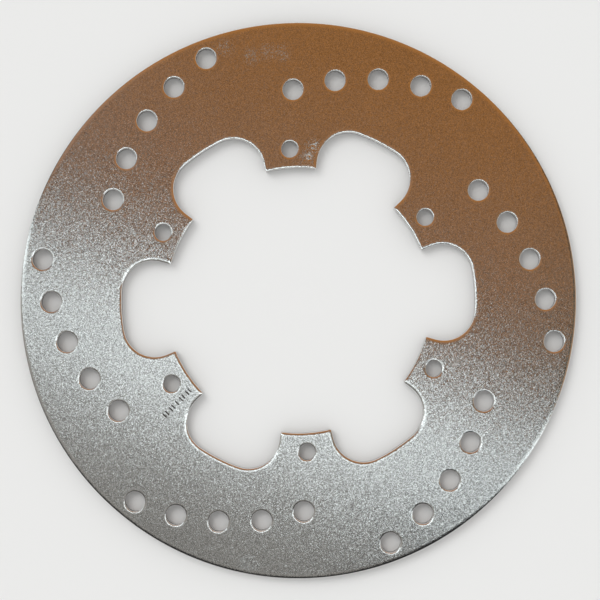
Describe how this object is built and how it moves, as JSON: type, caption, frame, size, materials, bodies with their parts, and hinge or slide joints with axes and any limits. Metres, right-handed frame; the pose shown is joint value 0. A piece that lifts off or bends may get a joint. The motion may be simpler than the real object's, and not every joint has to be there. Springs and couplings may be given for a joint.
{
  "type": "brake disc rotor",
  "caption": "Flat fixed motorcycle brake disc with a lobed centre opening, inward bolt tabs and swept rows of vent holes.",
  "frame": {"origin": "centre of the hub-side face, on the disc's axis", "axes": "+Z along the disc's axis from the hub side to the outer side; +X through the middle of a bolt hole"},
  "size_m": [0.22, 0.22, 0.004],
  "materials": {
    "ground_steel": "fine matt grind without a direction, with smooth rolled edges"
  },
  "bodies": {
    "root": {"brake_disc": "ground_steel"}
  },
  "joints": []
}
